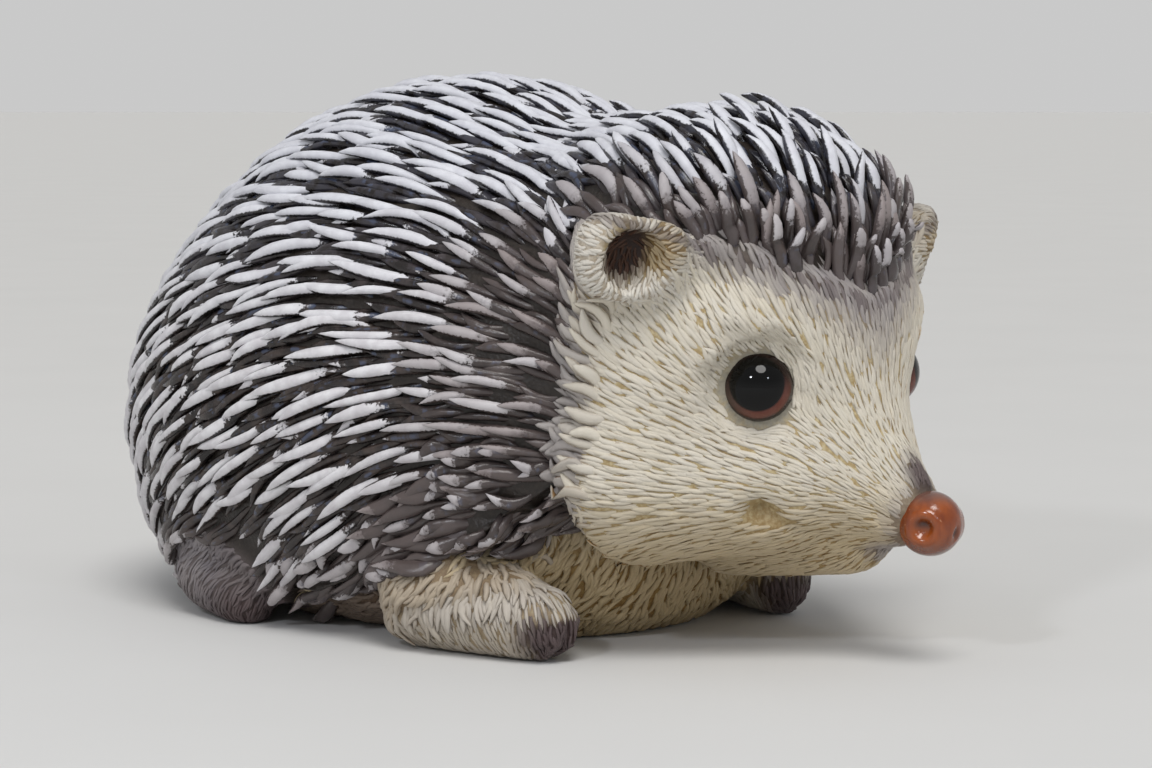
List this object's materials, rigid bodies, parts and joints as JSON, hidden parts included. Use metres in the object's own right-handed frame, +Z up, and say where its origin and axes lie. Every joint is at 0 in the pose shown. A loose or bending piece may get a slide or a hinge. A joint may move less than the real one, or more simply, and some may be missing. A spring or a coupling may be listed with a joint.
{
  "type": "hedgehog garden figurine",
  "caption": "Painted cast-resin figurine of a crouching hedgehog: a domed back of swept spines, a cream furred face, round black set-in eyes, cupped ears and a ball-shaped brown nose.",
  "frame": {"origin": "middle of the footprint's bounding box, on the surface that the figurine stands on", "axes": "+Z up, the nose points to -Y, +X is the animal's left"},
  "size_m": [0.092, 0.152, 0.0819],
  "materials": {
    "spine_paint": "cast resin painted dark brown, spines dry-brushed off-white, satin",
    "fur_paint": "cast resin painted cream over an ochre wash, satin",
    "paw_paint": "cast resin painted grey-brown, tops dry-brushed white, satin",
    "nose_paint": "cast resin painted orange-brown, gloss",
    "eye_black": "polished black with a dark red-brown rim"
  },
  "bodies": {
    "root": {"head": "fur_paint", "nose": "nose_paint", "eye_left": "eye_black", "ear_left": "fur_paint", "eye_right": "eye_black", "ear_right": "fur_paint", "trunk": "spine_paint", "belly": "fur_paint", "foreleg_right": "paw_paint", "foreleg_left": "paw_paint", "hindleg_right": "paw_paint", "hindleg_left": "paw_paint", "tail": "fur_paint"}
  },
  "joints": []
}
